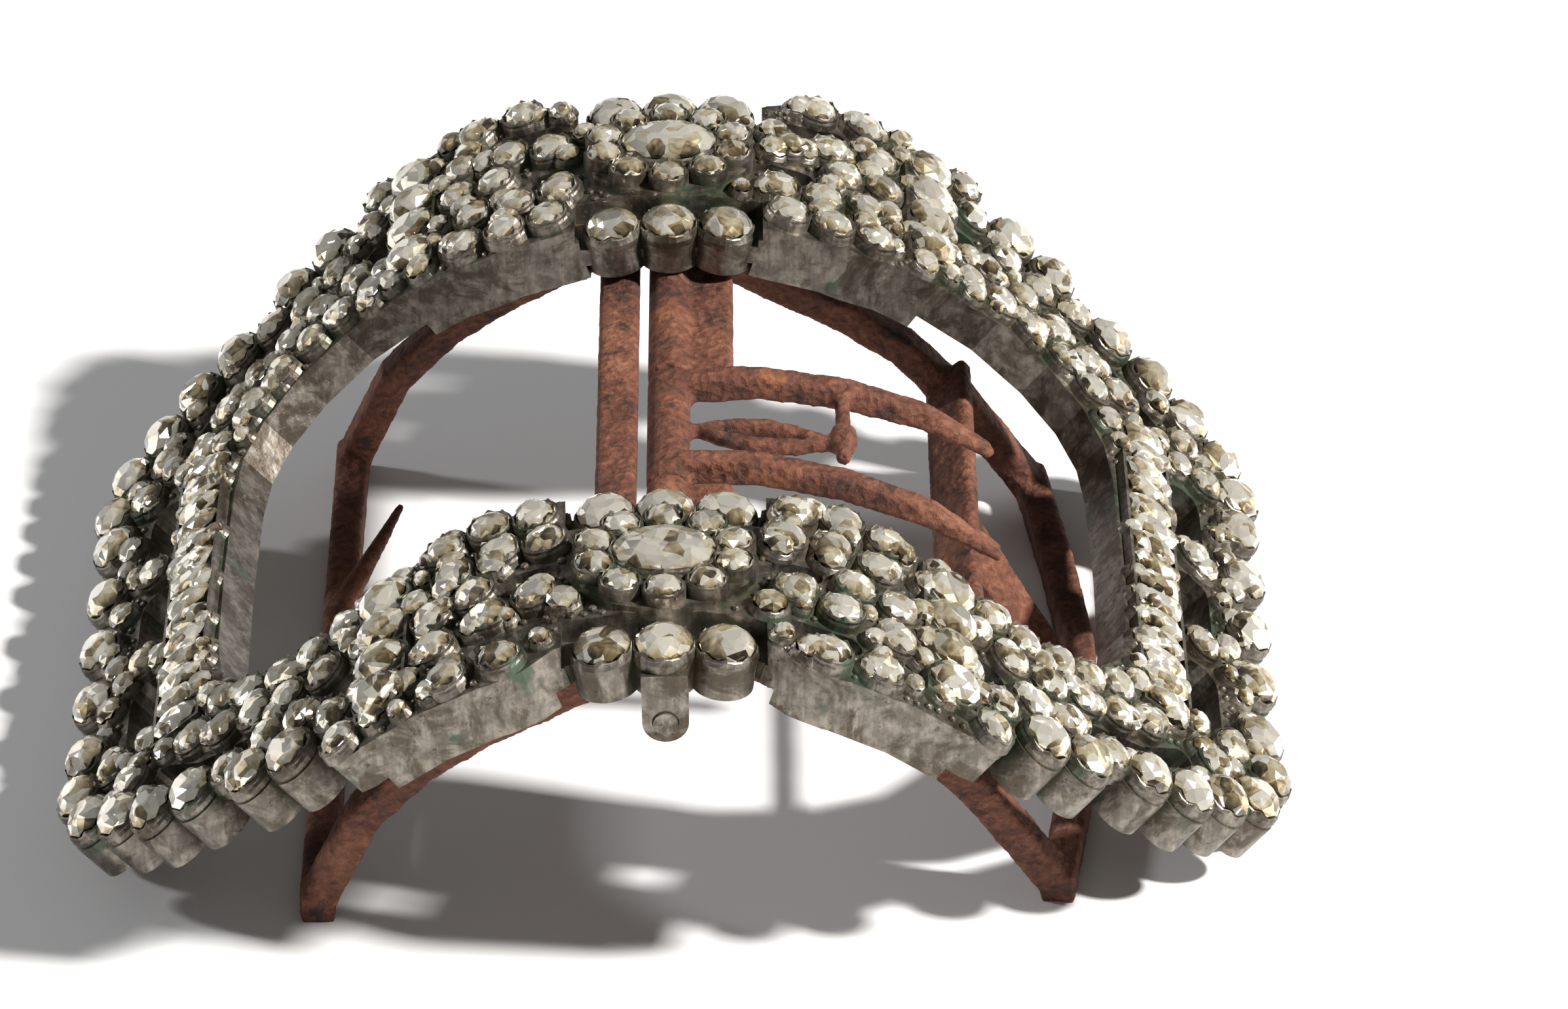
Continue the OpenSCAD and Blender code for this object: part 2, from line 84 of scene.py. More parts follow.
# Share of painted shade on each ring of the cut, from the foot to the table, and facets round each kind of
# stone
CUT_SHADE = (1.0, 1.0, 0.75, 0.25, 0.0)
FACETS, CLUSTER_FACETS, OVAL_FACETS, FINE_FACETS = 8, 10, 12, 7

# Reach of the cups' feet in half sizes of the stone, and how far a stone may be turned, in radians
CUP_FOOT, BROAD_FOOT, FINE_FOOT = 1.2, 1.36, 1.4
SLIGHT_TURN, LOOSE_TURN = 0.06, 0.5

# Radii of the fine stones and grains, height of the fine stones by radius, and share of their lips
FINE_RADII, GRAIN_RADII, FINE_HIGH, FINE_LIP = (1.05, 0.85, 0.68), (0.3, 0.24), (0.9, 0.35), 0.6

# Where they may stand: rim kept bare, pitch of the tries, distance apart, reach of the plate, search cell
FINE_RIM, FINE_PITCH, APART, REACH_S, REACH_Y, CELL = 0.16, 0.5, (1.05, 0.1), 50, 37, 2.5

# Rays that look for the plate's bare top face: from how high, with what slack, and how many round a stone
LOOK_FROM, LOOK_SLACK, LOOK_SIDES = 3.0, 0.2, 8

# Height of the spindle, and how far from it the iron starts to swell over the solids and swells in full
PIN_Z, PIN_CLEAR = 24.0, (1.7, 2.6)

# Forging of the bars: merging distance, smoothings, and (scale, share) of each noise in their surface
WELD, SMOOTHINGS, ROUGHNESS = 0.002, 9, ((0.9, 0.6), (2.7, 0.4))

# Pastes as (name, cells to a metre of the facets and the painted reflections, brightness of the painted
# reflections)
PASTES = (("small_pastes", 760.0, 0.08), ("large_pastes", 560.0, 0.10))

# Tones of the finishes, with stops as (place, colour) from dark to light
WORN_SILVER, BROWN_SILVER = (0.33, 0.295, 0.25, 1), (0.075, 0.058, 0.04, 1)
PITTED_SILVER = (0.05, 0.04, 0.03, 1)
# The pastes' stops are painted reflection: dark reflections of the foil up to a painted white highlight
PASTE_STOPS = (
    (0.14, (0.04, 0.027, 0.011, 1)), (0.28, (0.20, 0.14, 0.06, 1)), (0.40, (0.48, 0.38, 0.21, 1)),
    (0.54, (0.80, 0.69, 0.46, 1)), (0.72, (1.0, 0.95, 0.82, 1)),
)
IRON_STOPS = (
    (0.34, (0.024, 0.014, 0.012, 1)), (0.43, (0.075, 0.030, 0.020, 1)), (0.51, (0.155, 0.057, 0.033, 1)),
    (0.59, (0.24, 0.10, 0.058, 1)), (0.70, (0.36, 0.19, 0.125, 1)),
)
BRIGHT_RUST, BLACK_SCALE = (0.36, 0.135, 0.05, 1), (0.026, 0.018, 0.016, 1)

# Stage: camera in millimetres and degrees, lamps as name, way, size, power and tone
CAMERA_AT, CAMERA_LENS = (8.24, -397.62, 278.48), 158.9
CAMERA_PITCH, CAMERA_YAW, CAMERA_ROLL = 33.338, 0.0695, -0.986
LAMPS = (
    ("key", (1.1, -0.4, 1.0), 0.10, 46.0, (1.0, 0.975, 0.945)),
    ("second", (-2.1, 0.6, 1.0), 0.14, 8.0, (0.97, 0.98, 1.0)),
)
CLIP, LAMP_FAR, SKY, FLOOR_HALF, FLOOR_ROUGH = (0.05, 5.0), 1.5, 0.16, 3.0, 0.6


class BuckleSizes(bpy.types.PropertyGroup):
    """Sizes of what the render adds to the solids"""

    stone_high: bpy.props.FloatProperty(
        name="Stone height", description="Height of a small stone over the plate", default=1.4 * MM,
        unit="LENGTH")
    main_high: bpy.props.FloatProperty(
        name="Main stone height", description="Height of a main stone over the plate", default=1.9 * MM,
        unit="LENGTH")
    collet_lip: bpy.props.FloatProperty(
        name="Collet lip", description="How high the silver lips reach round a stone", default=1.05 * MM,
        unit="LENGTH")
    iron_grain: bpy.props.FloatProperty(
        name="Iron pitting", description="Depth of the rust pits in the iron", default=0.07 * MM,
        unit="LENGTH")
    iron_voxel: bpy.props.FloatProperty(
        name="Iron mesh size", description="Mesh size of the forged iron", default=0.26 * MM, unit="LENGTH")
    iron_regain: bpy.props.FloatProperty(
        name="Iron regain", description="What rounding the bars takes off, given back", default=0.03 * MM,
        unit="LENGTH")
    seed: bpy.props.IntProperty(
        name="Seed", description="Seed of the stones' small differences", default=7, min=0)


class BuckleColours(bpy.types.PropertyGroup):
    """Colours of the finishes"""

    silver: bpy.props.FloatVectorProperty(
        name="Silver", description="Aged silver", subtype="COLOR", size=4, default=(0.15, 0.132, 0.112, 1))
    # Painted shade: the dark colour, in a tarnish tone, that the recesses take through an occlusion mask
    recess_shade: bpy.props.FloatVectorProperty(
        name="Recess shade", description="Dark tarnish in the recesses", subtype="COLOR", size=4,
        default=(0.10, 0.084, 0.048, 1))
    verdigris: bpy.props.FloatVectorProperty(
        name="Verdigris", description="Green deposit on the silver", subtype="COLOR", size=4,
        default=(0.05, 0.085, 0.055, 1))
    paste: bpy.props.FloatVectorProperty(
        name="Paste", description="Foiled paste stone", subtype="COLOR", size=4,
        default=(0.86, 0.78, 0.62, 1))
    rust: bpy.props.FloatVectorProperty(
        name="Rust", description="Rusted iron", subtype="COLOR", size=4, default=(0.16, 0.055, 0.03, 1))
    floor: bpy.props.FloatVectorProperty(
        name="Floor", description="Pale floor", subtype="COLOR", size=4, default=(0.88, 0.88, 0.88, 1))


class Wire:
    """A node socket that takes part in Python expressions"""

    tree = None

    def __init__(self, socket):
        self.socket = socket

    @classmethod
    def node(cls, kind, settings=None, inputs=None, out=0):
        made = cls.tree.nodes.new(kind)
        for name, value in (settings or {}).items():
            if name == "stops":
                ramp = made.color_ramp
                while len(ramp.elements) > 1:
                    ramp.elements.remove(ramp.elements[-1])
                ramp.elements[0].position, ramp.elements[0].color = value[0]
                for place, colour in value[1:]:
                    ramp.elements.new(place).color = colour
            else:
                setattr(made, name, value)
        for name, value in (inputs or {}).items():
            cls.feed(made.inputs[name], value)
        return cls(made.outputs[out])

    @classmethod
    def feed(cls, socket, value):
        if isinstance(value, Wire):
            cls.tree.links.new(value.socket, socket)
        else:
            socket.default_value = value

    def math_with(self, other, operation, swap=False):
        first, second = (other, self) if swap else (self, other)
        return Wire.node("ShaderNodeMath", {"operation": operation}, {0: first, 1: second})

    def __add__(self, other):
        return self.math_with(other, "ADD")

    __radd__ = __add__

    def __mul__(self, other):
        return self.math_with(other, "MULTIPLY")

    __rmul__ = __mul__

    def __sub__(self, other):
        return self.math_with(other, "SUBTRACT")

    def __rsub__(self, other):
        return self.math_with(other, "SUBTRACT", swap=True)

    def step(self, low, high):
        return Wire.node("ShaderNodeMapRange", {"interpolation_type": "SMOOTHSTEP"},
                         {"Value": self, "From Min": low, "From Max": high})


def mixed(factor, first, second):
    made = Wire.tree.nodes.new("ShaderNodeMix")
    made.data_type = "RGBA"
    for index, value in ((0, factor), (6, first), (7, second)):
        Wire.feed(made.inputs[index], value)
    return Wire(made.outputs[2])


def place():
    """Place in the object's own metres"""
    return Wire.node("ShaderNodeTexCoord", out=3)


def grain(scale, detail=4.0, rough=0.55, distort=0.0):
    """Noise of the given scale, in swells to a metre"""
    return Wire.node("ShaderNodeTexNoise", {}, {
        "Vector": place(), "Scale": scale, "Detail": detail, "Roughness": rough, "Distortion": distort})


def bump(height, depth, strength=1.0):
    return Wire.node("ShaderNodeBump", {}, {"Height": height, "Distance": depth, "Strength": strength})


def finish(name, plain, inputs):
    """A material whose plain values sit on the shader and whose maps come from the function inputs()"""
    material = bpy.data.materials.new(name)
    material.use_nodes = True
    Wire.tree = material.node_tree
    shader = Wire.tree.nodes["Principled BSDF"]
    for socket, value in plain.items():
        shader.inputs[socket].default_value = value
    for socket, value in inputs().items():
        Wire.feed(shader.inputs[socket], value)
    return material


def recess(reach):
    """How open the surface is within reach: one in the open, nothing in a corner"""
    return Wire.node("ShaderNodeAmbientOcclusion", {"samples": 6, "only_local": False}, {"Distance": reach},
                     out=1)


def brushed(scale, stretch):
    """Noise drawn out along Z, as a file leaves it on an upright wall"""
    drawn = Wire.node("ShaderNodeMapping", {}, {"Vector": place(), "Scale": (1.0, 1.0, 1.0 / stretch)})
    return Wire.node("ShaderNodeTexNoise", {}, {
        "Vector": drawn, "Scale": scale, "Detail": 3.0, "Roughness": 0.6})


def silver_finish(colours):
    def maps():
        open_part = recess(0.9 * MM)
        patch = grain(230, 5, 0.6)
        fine = grain(2600, 4, 0.6)
        scratch = brushed(2400, 9.0)
        pits = grain(1300, 5, 0.7).step(0.60, 0.70)
        worn = mixed((scratch * 0.35 + grain(900, 5, 0.65) * 0.65).step(0.40, 0.66), colours.silver,
                     WORN_SILVER)
        brown = mixed(grain(330, 6, 0.7, 0.8).step(0.45, 0.60) * 0.85, worn, BROWN_SILVER)
        green = mixed((patch + (1 - open_part) * 0.25).step(0.58, 0.70) * 0.85, brown, colours.verdigris)
        # Painted shade: where the occlusion mask finds a recess, the silver darkens to the recess colour and
        # loses its shine
        dark = (1 - open_part).step(0.2, 0.9)
        colour = mixed(dark, green, colours.recess_shade)
        return {
            "Base Color": mixed(pits * 0.75, colour, PITTED_SILVER),
            "Metallic": 0.9 - dark * 0.6 - patch.step(0.58, 0.70) * 0.4 - pits * 0.3,
            "Roughness": fine * 0.2 + 0.3 + dark * 0.3 + pits * 0.2,
            "Normal": bump(fine * 0.8 + scratch * 0.4 - pits, 0.05 * MM, 0.6),
        }
    return finish("aged_silver", {"Specular IOR Level": 0.5}, maps)


def facet_height(cell, steep):
    """Height, in metres, of flat tilted facets, one to a cell: the foiled back seen through the stone"""
    spots = {"Vector": place(), "Scale": cell, "Randomness": 0.9}
    tilt = Wire.node("ShaderNodeVectorMath", {"operation": "SUBTRACT"}, {
        0: Wire.node("ShaderNodeTexVoronoi", {}, spots, out=1), 1: (0.5, 0.5, 0.5)})
    off = Wire.node("ShaderNodeVectorMath", {"operation": "SUBTRACT"}, {
        0: place(), 1: Wire.node("ShaderNodeTexVoronoi", {}, spots, out=2)})
    return Wire.node("ShaderNodeVectorMath", {"operation": "DOT_PRODUCT"}, {0: off, 1: tilt}, out=1) * steep


def paste_finish(colours, name, cell, bright):
    def maps():
        tint = Wire.node("ShaderNodeAttribute", {"attribute_name": "tint"}, {}, out=2)
        rim = Wire.node("ShaderNodeAttribute", {"attribute_name": "rim"}, {}, out=2)
        # The stone's colour is painted reflection: each cell of the foil gets a tone from the stops, from
        # dark up to a painted white highlight
        spots = {"Vector": place(), "Scale": cell * 1.5, "Randomness": 0.9}
        spot = Wire.node("ShaderNodeTexVoronoi", {}, spots, out=1)
        grey = Wire.node("ShaderNodeRGBToBW", {}, {"Color": spot})
        # Painted shade: the attribute rim darkens the lower rings of each stone
        painted_reflection = grey * 1.15 + tint * 0.16 + (grain(900, 2, 0.5, 1.5) - 0.5) * 0.6 - rim * 0.30
        painted_reflection_colour = Wire.node("ShaderNodeValToRGB", {"stops": PASTE_STOPS}, {"Fac": painted_reflection + bright})
        warm = mixed(grain(420, 2).step(0.52, 0.70) * 0.25, painted_reflection_colour, colours.paste)
        return {"Base Color": warm, "Normal": bump(facet_height(cell, 0.95), 1.0)}
    return finish(name, {"Roughness": 0.09, "Metallic": 0.7, "Specular IOR Level": 0.8, "IOR": 1.6,
                         "Coat Weight": 1.0, "Coat Roughness": 0.02, "Coat IOR": 1.7}, maps)


def iron_finish(colours):
    def maps():
        broad = grain(170, 4, 0.6)
        fine = grain(1500, 6, 0.7)
        pits = Wire.node("ShaderNodeTexVoronoi", {"feature": "F1"}, {
            "Vector": place(), "Scale": 1500.0, "Randomness": 1.0})
        streak = grain(650, 5, 0.65, 2.0)
        base = Wire.node("ShaderNodeValToRGB", {"stops": IRON_STOPS},
                         {"Fac": broad * 0.35 + fine * 0.35 + streak * 0.3})
        bright = mixed(grain(330, 3, 0.5).step(0.62, 0.75) * 0.45, base, BRIGHT_RUST)
        dark = mixed(grain(420, 6, 0.7, 0.8).step(0.54, 0.66) * 0.85, bright, BLACK_SCALE)
        return {
            "Base Color": mixed(fine.step(0.30, 0.42) * 0.88 + 0.06, colours.rust, dark),
            "Roughness": fine * 0.3 + 0.62,
            "Metallic": grain(480, 4, 0.6, 0.8).step(0.57, 0.70) * 0.25,
            "Normal": bump(fine + pits * 0.9 + streak * 0.6, 0.26 * MM, 1.0),
        }
    return finish("rusted_iron", {"Specular IOR Level": 0.35}, maps)


def arch_matrix(s):
    """Frame on the plate's top face at distance s from the crown, in millimetres, Z square to the plate"""
    turn = max(-ARCH_HALF, min(ARCH_HALF, s / ARCH_R))
    run = s - turn * ARCH_R
    spot = Vector((ARCH_R * math.sin(turn), 0, CROWN_Z - ARCH_R + ARCH_R * math.cos(turn)))
    tilt = Matrix.Rotation(turn, 4, "Y")
    return Matrix.Translation(spot) @ tilt @ Matrix.Translation((run, 0, 0))


def seat_matrix(s, y):
    """Frame of a stone that stands on its flat step of the crown or on the flank"""
    if abs(s) > ARCH_S:
        base = math.copysign(ARCH_S, s)
    else:
        base = max(-LAST_STEP, min(LAST_STEP, round(s / STEP_S))) * STEP_S
    return arch_matrix(base) @ Matrix.Translation((s - base, y, 0))


def quarters(places):
    return [(a * p[0], b * p[1]) for a in (-1, 1) for b in (-1, 1) for p in places]


class Setting:
    """Stones of one piece: their frames in millimetres, half sizes and heights"""

    def __init__(self):
        self.frames, self.sizes = [], []

    def add(self, matrix, a, b, high, twist=0.0):
        self.frames.append(matrix @ Matrix.Rotation(twist, 4, "Z"))
        self.sizes.append((a, b, high))

    def points(self, name, rng):
        mesh = bpy.data.meshes.new(name)
        mesh.from_pydata([m.translation * MM for m in self.frames], [], [])
        turns = [angle for matrix in self.frames for angle in matrix.to_euler()]
        sizes = [length * MM for size in self.sizes for length in size]
        mesh.attributes.new("turn", "FLOAT_VECTOR", "POINT").data.foreach_set("vector", turns)
        mesh.attributes.new("size", "FLOAT_VECTOR", "POINT").data.foreach_set("vector", sizes)
        tints = [rng.random() for _ in self.sizes]
        mesh.attributes.new("tint", "FLOAT", "POINT").data.foreach_set("value", tints)
        made = bpy.data.objects.new(name, mesh)
        bpy.context.collection.objects.link(made)
        return made


def ring_mesh(name, rings, count, material):
    """Closed shell from rings of (radius, height, half steps of twist, scallop)"""
    mesh = bmesh.new()
    loops = []
    for radius, height, twist, scallop in rings:
        loop = []
        for i in range(count):
            angle = 2 * math.pi * (i + twist / 2) / count
            wave = 1 + scallop * math.cos(LIP_SCALLOPS * angle)
            loop.append(mesh.verts.new((radius * math.cos(angle), radius * math.sin(angle), height * wave)))
        loops.append((loop, twist))
    for (low, low_twist), (high, high_twist) in zip(loops, loops[1:]):
        for i in range(count):
            j = (i + 1) % count
            if low_twist == high_twist:
                mesh.faces.new((low[i], low[j], high[j], high[i]))
            else:
                lead = high_twist > low_twist
                k = j if not lead else i
                mesh.faces.new((low[i], low[j], high[k]))
                mesh.faces.new((high[i], low[j], high[j]) if lead else (low[i], high[j], high[i]))
    mesh.faces.new(list(reversed(loops[0][0])))
    mesh.faces.new(loops[-1][0])
    bmesh.ops.recalc_face_normals(mesh, faces=mesh.faces)
    data = bpy.data.meshes.new(name)
    mesh.to_mesh(data)
    mesh.free()
    data.materials.append(material)
    return bpy.data.objects.new(name, data)


def brilliant(name, material, count):
    """Domed cut stone of half size one and height one: girdle, three rows of facets and a table"""
    made = ring_mesh(name, CUT, count, material)
    # Painted shade, full at the foot and none at the table, kept on the stone as the attribute rim
    shade = [value for value in CUT_SHADE for _ in range(count)]
    made.data.attributes.new("rim", "FLOAT", "POINT").data.foreach_set("value", shade)
    return made


def collet_cup(name, material, foot):
    """Silver lips round a stone, scalloped where they are pressed over it, on a foot of the given reach"""
    base = ((foot, 0.0, 0, 0), (0.4 * foot + LIP_WAIST, LIP_WAIST_HIGH, 0, 0.0))
    return ring_mesh(name, base + LIP, LIP_SIDES, material)


def setting_tree():
    """Geometry nodes: puts one stone or cup on every point, turned and sized by the point's attributes"""
    tree = bpy.data.node_groups.new("set_on_points", "GeometryNodeTree")
    face = tree.interface
    face.new_socket("Geometry", in_out="INPUT", socket_type="NodeSocketGeometry")
    face.new_socket("Piece", in_out="INPUT", socket_type="NodeSocketObject")
    face.new_socket("Finish", in_out="INPUT", socket_type="NodeSocketMaterial")
    face.new_socket("Loose turn", in_out="INPUT", socket_type="NodeSocketFloat")
    face.new_socket("Seed", in_out="INPUT", socket_type="NodeSocketInt")
    face.new_socket("Geometry", in_out="OUTPUT", socket_type="NodeSocketGeometry")
    nodes, links = tree.nodes, tree.links

    def add(kind, **settings):
        made = nodes.new(kind)
        for key, value in settings.items():
            setattr(made, key, value)
        return made

    given = add("NodeGroupInput")
    info = add("GeometryNodeObjectInfo")
    turn = add("GeometryNodeInputNamedAttribute", data_type="FLOAT_VECTOR")
    turn.inputs["Name"].default_value = "turn"
    size = add("GeometryNodeInputNamedAttribute", data_type="FLOAT_VECTOR")
    size.inputs["Name"].default_value = "size"
    euler = add("FunctionNodeEulerToRotation")
    chance = add("FunctionNodeRandomValue", data_type="FLOAT")
    chance.inputs[2].default_value = -1.0
    chance.inputs[3].default_value = 1.0
    scaled = add("ShaderNodeMath", operation="MULTIPLY")
    spin = add("ShaderNodeCombineXYZ")
    spin_turn = add("FunctionNodeEulerToRotation")
    both = add("FunctionNodeRotateRotation", rotation_space="LOCAL")
    put = add("GeometryNodeInstanceOnPoints")
    real = add("GeometryNodeRealizeInstances")
    coat = add("GeometryNodeSetMaterial")
    result = add("NodeGroupOutput")
    for a, b in (
        (given.outputs["Geometry"], put.inputs["Points"]), (given.outputs["Piece"], info.inputs["Object"]),
        (info.outputs["Geometry"], put.inputs["Instance"]), (turn.outputs["Attribute"], euler.inputs[0]),
        (given.outputs["Seed"], chance.inputs["Seed"]), (chance.outputs[1], scaled.inputs[0]),
        (given.outputs["Loose turn"], scaled.inputs[1]), (scaled.outputs[0], spin.inputs["Z"]),
        (spin.outputs[0], spin_turn.inputs[0]), (euler.outputs[0], both.inputs[0]),
        (spin_turn.outputs[0], both.inputs[1]), (both.outputs[0], put.inputs["Rotation"]),
        (size.outputs["Attribute"], put.inputs["Scale"]), (put.outputs[0], real.inputs[0]),
        (real.outputs[0], coat.inputs["Geometry"]), (given.outputs["Finish"], coat.inputs["Material"]),
        (coat.outputs[0], result.inputs[0]),
    ):
        links.new(a, b)
    return tree


def socket_id(tree, name):
    return next(i.identifier for i in tree.interface.items_tree if i.name == name and i.in_out == "INPUT")


def settle(made):
    """Applies an object's modifiers and leaves a plain mesh"""
    depsgraph = bpy.context.evaluated_depsgraph_get()
    mesh = bpy.data.meshes.new_from_object(made.evaluated_get(depsgraph))
    mesh.name = made.name
    made.modifiers.clear()
    old = made.data
    made.data = mesh
    bpy.data.meshes.remove(old)
    return made


def set_on(points, piece, material, loose=0.0, seed=1):
    """Puts the piece on every point and makes them one mesh, each turned at random by up to loose radians"""
    tree = bpy.data.node_groups.get("set_on_points") or setting_tree()
    bpy.context.collection.objects.link(piece)
    made = points.modifiers.new("set", "NODES")
    made.node_group = tree
    made[socket_id(tree, "Piece")] = piece
    made[socket_id(tree, "Finish")] = material
    made[socket_id(tree, "Loose turn")] = loose
    made[socket_id(tree, "Seed")] = seed
    settle(points)
    bpy.data.objects.remove(piece)
    return points


def free_places(radii, rim, pitch, rng):
    """Places, as frames and radii, where the plate's top face is bare for a round stone of each radius"""
    plate = bpy.data.objects["frame"]
    held, cells = [], {}
    columns, rows = int(REACH_S / pitch), int(REACH_Y / pitch)
    for r in radii:
        spots = [((i + rng.random()) * pitch, (j + rng.random()) * pitch)
                 for i in range(-columns, columns) for j in range(-rows, rows)]
        rng.shuffle(spots)
        for s, y in spots:
            key = (math.floor(s / CELL), math.floor(y / CELL))
            near = [o for a in (-1, 0, 1) for b in (-1, 0, 1)
                    for o in cells.get((key[0] + a, key[1] + b), ())]
            if any(math.hypot(s - o[0], y - o[1]) < (r + o[2]) * APART[0] + APART[1] for o in near):
                continue
            matrix = seat_matrix(s, y)
            down = -(matrix.to_3x3() @ Vector((0, 0, 1)))
            bare = True
            for i in range(LOOK_SIDES + 1):
                reach = 0 if i == LOOK_SIDES else r + rim
                angle = 2 * math.pi * i / LOOK_SIDES
                start = matrix @ Vector((reach * math.cos(angle), reach * math.sin(angle), LOOK_FROM))
                hit, spot, _, _ = plate.ray_cast(start * MM, down)
                if not hit or abs((spot / MM - start).length - LOOK_FROM) > LOOK_SLACK:
                    bare = False
                    break
            if bare:
                cells.setdefault(key, []).append((s, y, r))
                held.append((matrix, r))
    return held


def material_named(name):
    made = bpy.data.materials.get(name)
    if made is None:
        raise RuntimeError("make the finishes first: " + name)
    return made


def stones_and_cups(setting, name, nodes, count, stone_material, context, foot=CUP_FOOT, loose=SLIGHT_TURN,
                    lip=1.0):
    """The stones of one group and the silver lips round them, riding on the buckle"""
    sizes = context.scene.buckle_sizes
    rng = random.Random(sizes.seed + len(name))
    one = brilliant(name + "_one", stone_material, count)
    stones = set_on(setting.points(name, rng), one, stone_material, loose, sizes.seed)
    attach(stones, "buckle")
    if nodes:
        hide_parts(*nodes)
    if foot:
        silver = material_named("aged_silver")
        lips = Setting()
        lips.frames = setting.frames
        lips.sizes = [(a, b, lip * sizes.collet_lip / MM) for a, b, _ in setting.sizes]
        made = set_on(lips.points(name + "_collets", rng), collet_cup(name + "_cup", silver, foot), silver)
        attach(made, "buckle")
    return stones


class BUCKLE_OT_stage(bpy.types.Operator):
    """Makes the camera, the lights and the pale floor"""

    bl_idname = "buckle.stage"
    bl_label = "Camera, light and floor"

    def execute(self, context):
        colours = context.scene.buckle_colours
        camera = bpy.data.cameras.new("camera")
        camera.lens = CAMERA_LENS
        camera.clip_start, camera.clip_end = CLIP
        holder = bpy.data.objects.new("camera", camera)
        context.collection.objects.link(holder)
        holder.location = Vector(CAMERA_AT) * MM
        pitch, yaw, roll = (math.radians(angle) for angle in (CAMERA_PITCH, CAMERA_YAW, CAMERA_ROLL))
        holder.rotation_euler = (
            Matrix.Rotation(yaw, 3, "Z") @ Matrix.Rotation(math.pi / 2 - pitch, 3, "X")
            @ Matrix.Rotation(roll, 3, "Z")).to_euler()
        context.scene.camera = holder
        context.scene.view_settings.view_transform = "Standard"

        floor_mesh = bpy.data.meshes.new("floor")
        corners = [(x * FLOOR_HALF, y * FLOOR_HALF, 0) for x, y in ((-1, -1), (1, -1), (1, 1), (-1, 1))]
        floor_mesh.from_pydata(corners, [], [(0, 1, 2, 3)])
        floor = bpy.data.objects.new("floor", floor_mesh)
        context.collection.objects.link(floor)
        plain = {"Base Color": colours.floor, "Roughness": FLOOR_ROUGH}
        floor.data.materials.append(finish("pale_floor", plain, dict))

        world = bpy.data.worlds.new("studio")
        context.scene.world = world
        world.use_nodes = True
        world.node_tree.nodes["Background"].inputs["Color"].default_value = (1.0, 1.0, 1.0, 1)
        world.node_tree.nodes["Background"].inputs["Strength"].default_value = SKY
        for name, way, size, power, tone in LAMPS:
            light = bpy.data.lights.new(name, "AREA")
            light.size, light.energy, light.color = size, power, tone
            lamp = bpy.data.objects.new(name, light)
            lamp.location = Vector(way).normalized() * LAMP_FAR
            lamp.rotation_euler = (-Vector(way)).to_track_quat("-Z", "Y").to_euler()
            context.collection.objects.link(lamp)
        return {"FINISHED"}


class BUCKLE_OT_finishes(bpy.types.Operator):
    """Makes the silver, paste and iron finishes and gives the solids theirs"""

    bl_idname = "buckle.finishes"
    bl_label = "Finishes"

    def execute(self, context):
        colours = context.scene.buckle_colours
        silver = silver_finish(colours)
        for name, cell, bright in PASTES:
            paste_finish(colours, name, cell, bright)
        iron_finish(colours)
        for node in ("frame", "spindle"):
            slots = bpy.data.objects[node].material_slots
            if not slots:
                bpy.data.objects[node].data.materials.append(silver)
            for held in slots:
                held.material = silver
        return {"FINISHED"}


class BUCKLE_OT_rosettes(bpy.types.Operator):
    """Makes the two rosettes' oval stones and the rings round them"""

    bl_idname = "buckle.rosettes"
    bl_label = "Rosettes"

    def execute(self, context):
        sizes = context.scene.buckle_sizes
        top = CROWN_Z + ROSETTE_RISE
        for side, word in ((-1, "near"), (1, "far")):
            middle = Setting()
            middle.add(Matrix.Translation((0, side * ROSETTE_Y, top)), *ROSETTE_STONE, sizes.main_high / MM)
            stones_and_cups(middle, "rosette_oval_" + word, ["rosette_stone_" + word], OVAL_FACETS,
                            material_named("large_pastes"), context, loose=0.0)
            ring = Setting()
            for i in range(RING_COUNT):
                angle = 2 * math.pi * i / RING_COUNT + RING_TURN
                spot = (RING_S * math.cos(angle), side * ROSETTE_Y + RING_Y * math.sin(angle), top)
                ring.add(Matrix.Translation(spot), RING_R, RING_R, sizes.stone_high / MM, angle)
            stones_and_cups(ring, "rosette_ring_" + word, ["ring_stones_" + word], FACETS,
                            material_named("small_pastes"), context)
        return {"FINISHED"}


class BUCKLE_OT_clusters(bpy.types.Operator):
    """Makes the stones in deep cups beside each rosette"""

    bl_idname = "buckle.clusters"
    bl_label = "Clusters"

    def execute(self, context):
        sizes = context.scene.buckle_sizes
        held = Setting()
        for y in (-CLUSTER_YS[1], -CLUSTER_YS[0], CLUSTER_YS[0], CLUSTER_YS[1]):
            for n in (-1, 0, 1):
                seat = arch_matrix(n * CLUSTER_S) @ Matrix.Translation((0, y, -CLUSTER_DROP))
                held.add(seat, CLUSTER_R, CLUSTER_R, sizes.main_high / MM)
        stones_and_cups(held, "cluster_pastes", ["cluster_stone_%d" % i for i in range(1, 13)],
                        CLUSTER_FACETS, material_named("large_pastes"), context)
        return {"FINISHED"}


class BUCKLE_OT_cross_bands(bpy.types.Operator):
    """Makes the square stones of the four cross bands"""

    bl_idname = "buckle.cross_bands"
    bl_label = "Cross bands"

    def execute(self, context):
        sizes = context.scene.buckle_sizes
        held = Setting()
        for a in (-1, 1):
            for b in (-1, 1):
                for y in BAND_YS:
                    seat = arch_matrix(a * BAND_S) @ Matrix.Translation((0, b * y, 0))
                    half_s, half_y = (half * BAND_MORE for half in BAND_STONE)
                    held.add(seat, half_s, half_y, sizes.main_high / MM)
        stones_and_cups(held, "band_pastes", ["band_stone_%d" % i for i in range(1, 17)], FACETS,
                        material_named("large_pastes"), context)
        return {"FINISHED"}


